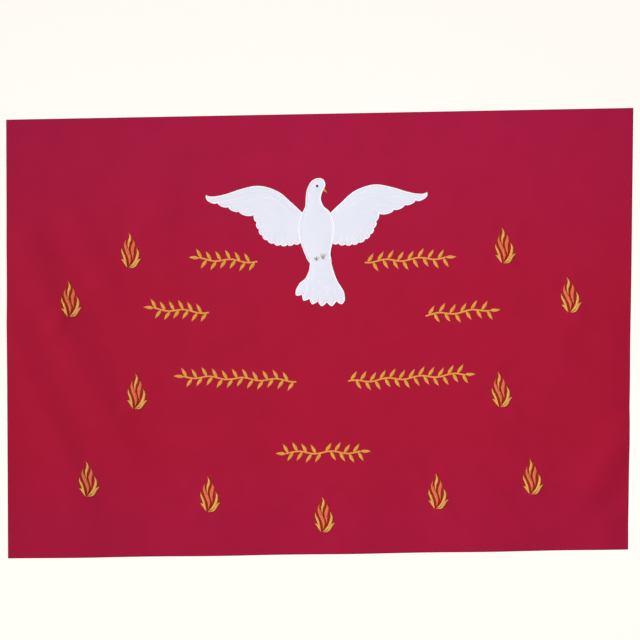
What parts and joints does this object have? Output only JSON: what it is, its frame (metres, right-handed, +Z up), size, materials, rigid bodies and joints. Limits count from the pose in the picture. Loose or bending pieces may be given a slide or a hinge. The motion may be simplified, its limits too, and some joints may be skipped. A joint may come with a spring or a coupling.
{
  "type": "processional banner",
  "caption": "Wide rectangular crimson cloth banner, hung by its top edge, with a white bird in applique, embroidered flames and gold leafy sprigs.",
  "frame": {"origin": "middle of the banner's top edge, halfway through the cloth", "axes": "+X along the top edge to the right as seen from the front, +Z up, and the face looks toward -Y"},
  "size_m": [1.2994, 0.0151, 0.904],
  "materials": {
    "crimson_cloth": "matte plain weave with a soft sheen",
    "white_satin": "white satin with satin-stitched edges",
    "gold_thread": "glossy embroidery thread",
    "flame_thread": "glossy embroidery thread in yellow, orange and dark brown",
    "olive_thread": "embroidery thread",
    "black_thread": "embroidery thread"
  },
  "bodies": {
    "root": {"banner_cloth": "crimson_cloth", "bird_wing_left": "white_satin", "bird_wing_right": "white_satin", "bird_body": "white_satin", "bird_tail": "white_satin", "bird_beak": "gold_thread", "bird_eye": "black_thread", "bird_foot_left": "olive_thread", "bird_foot_right": "olive_thread", "flame_01": "flame_thread", "flame_02": "flame_thread", "flame_03": "flame_thread", "flame_04": "flame_thread", "flame_05": "flame_thread", "flame_06": "flame_thread", "flame_07": "flame_thread", "flame_08": "flame_thread", "flame_09": "flame_thread", "flame_10": "flame_thread", "flame_11": "flame_thread", "sprig_1": "gold_thread", "sprig_2": "gold_thread", "sprig_3": "gold_thread", "sprig_4": "gold_thread", "sprig_5": "gold_thread", "sprig_6": "gold_thread", "sprig_7": "gold_thread"}
  },
  "joints": []
}
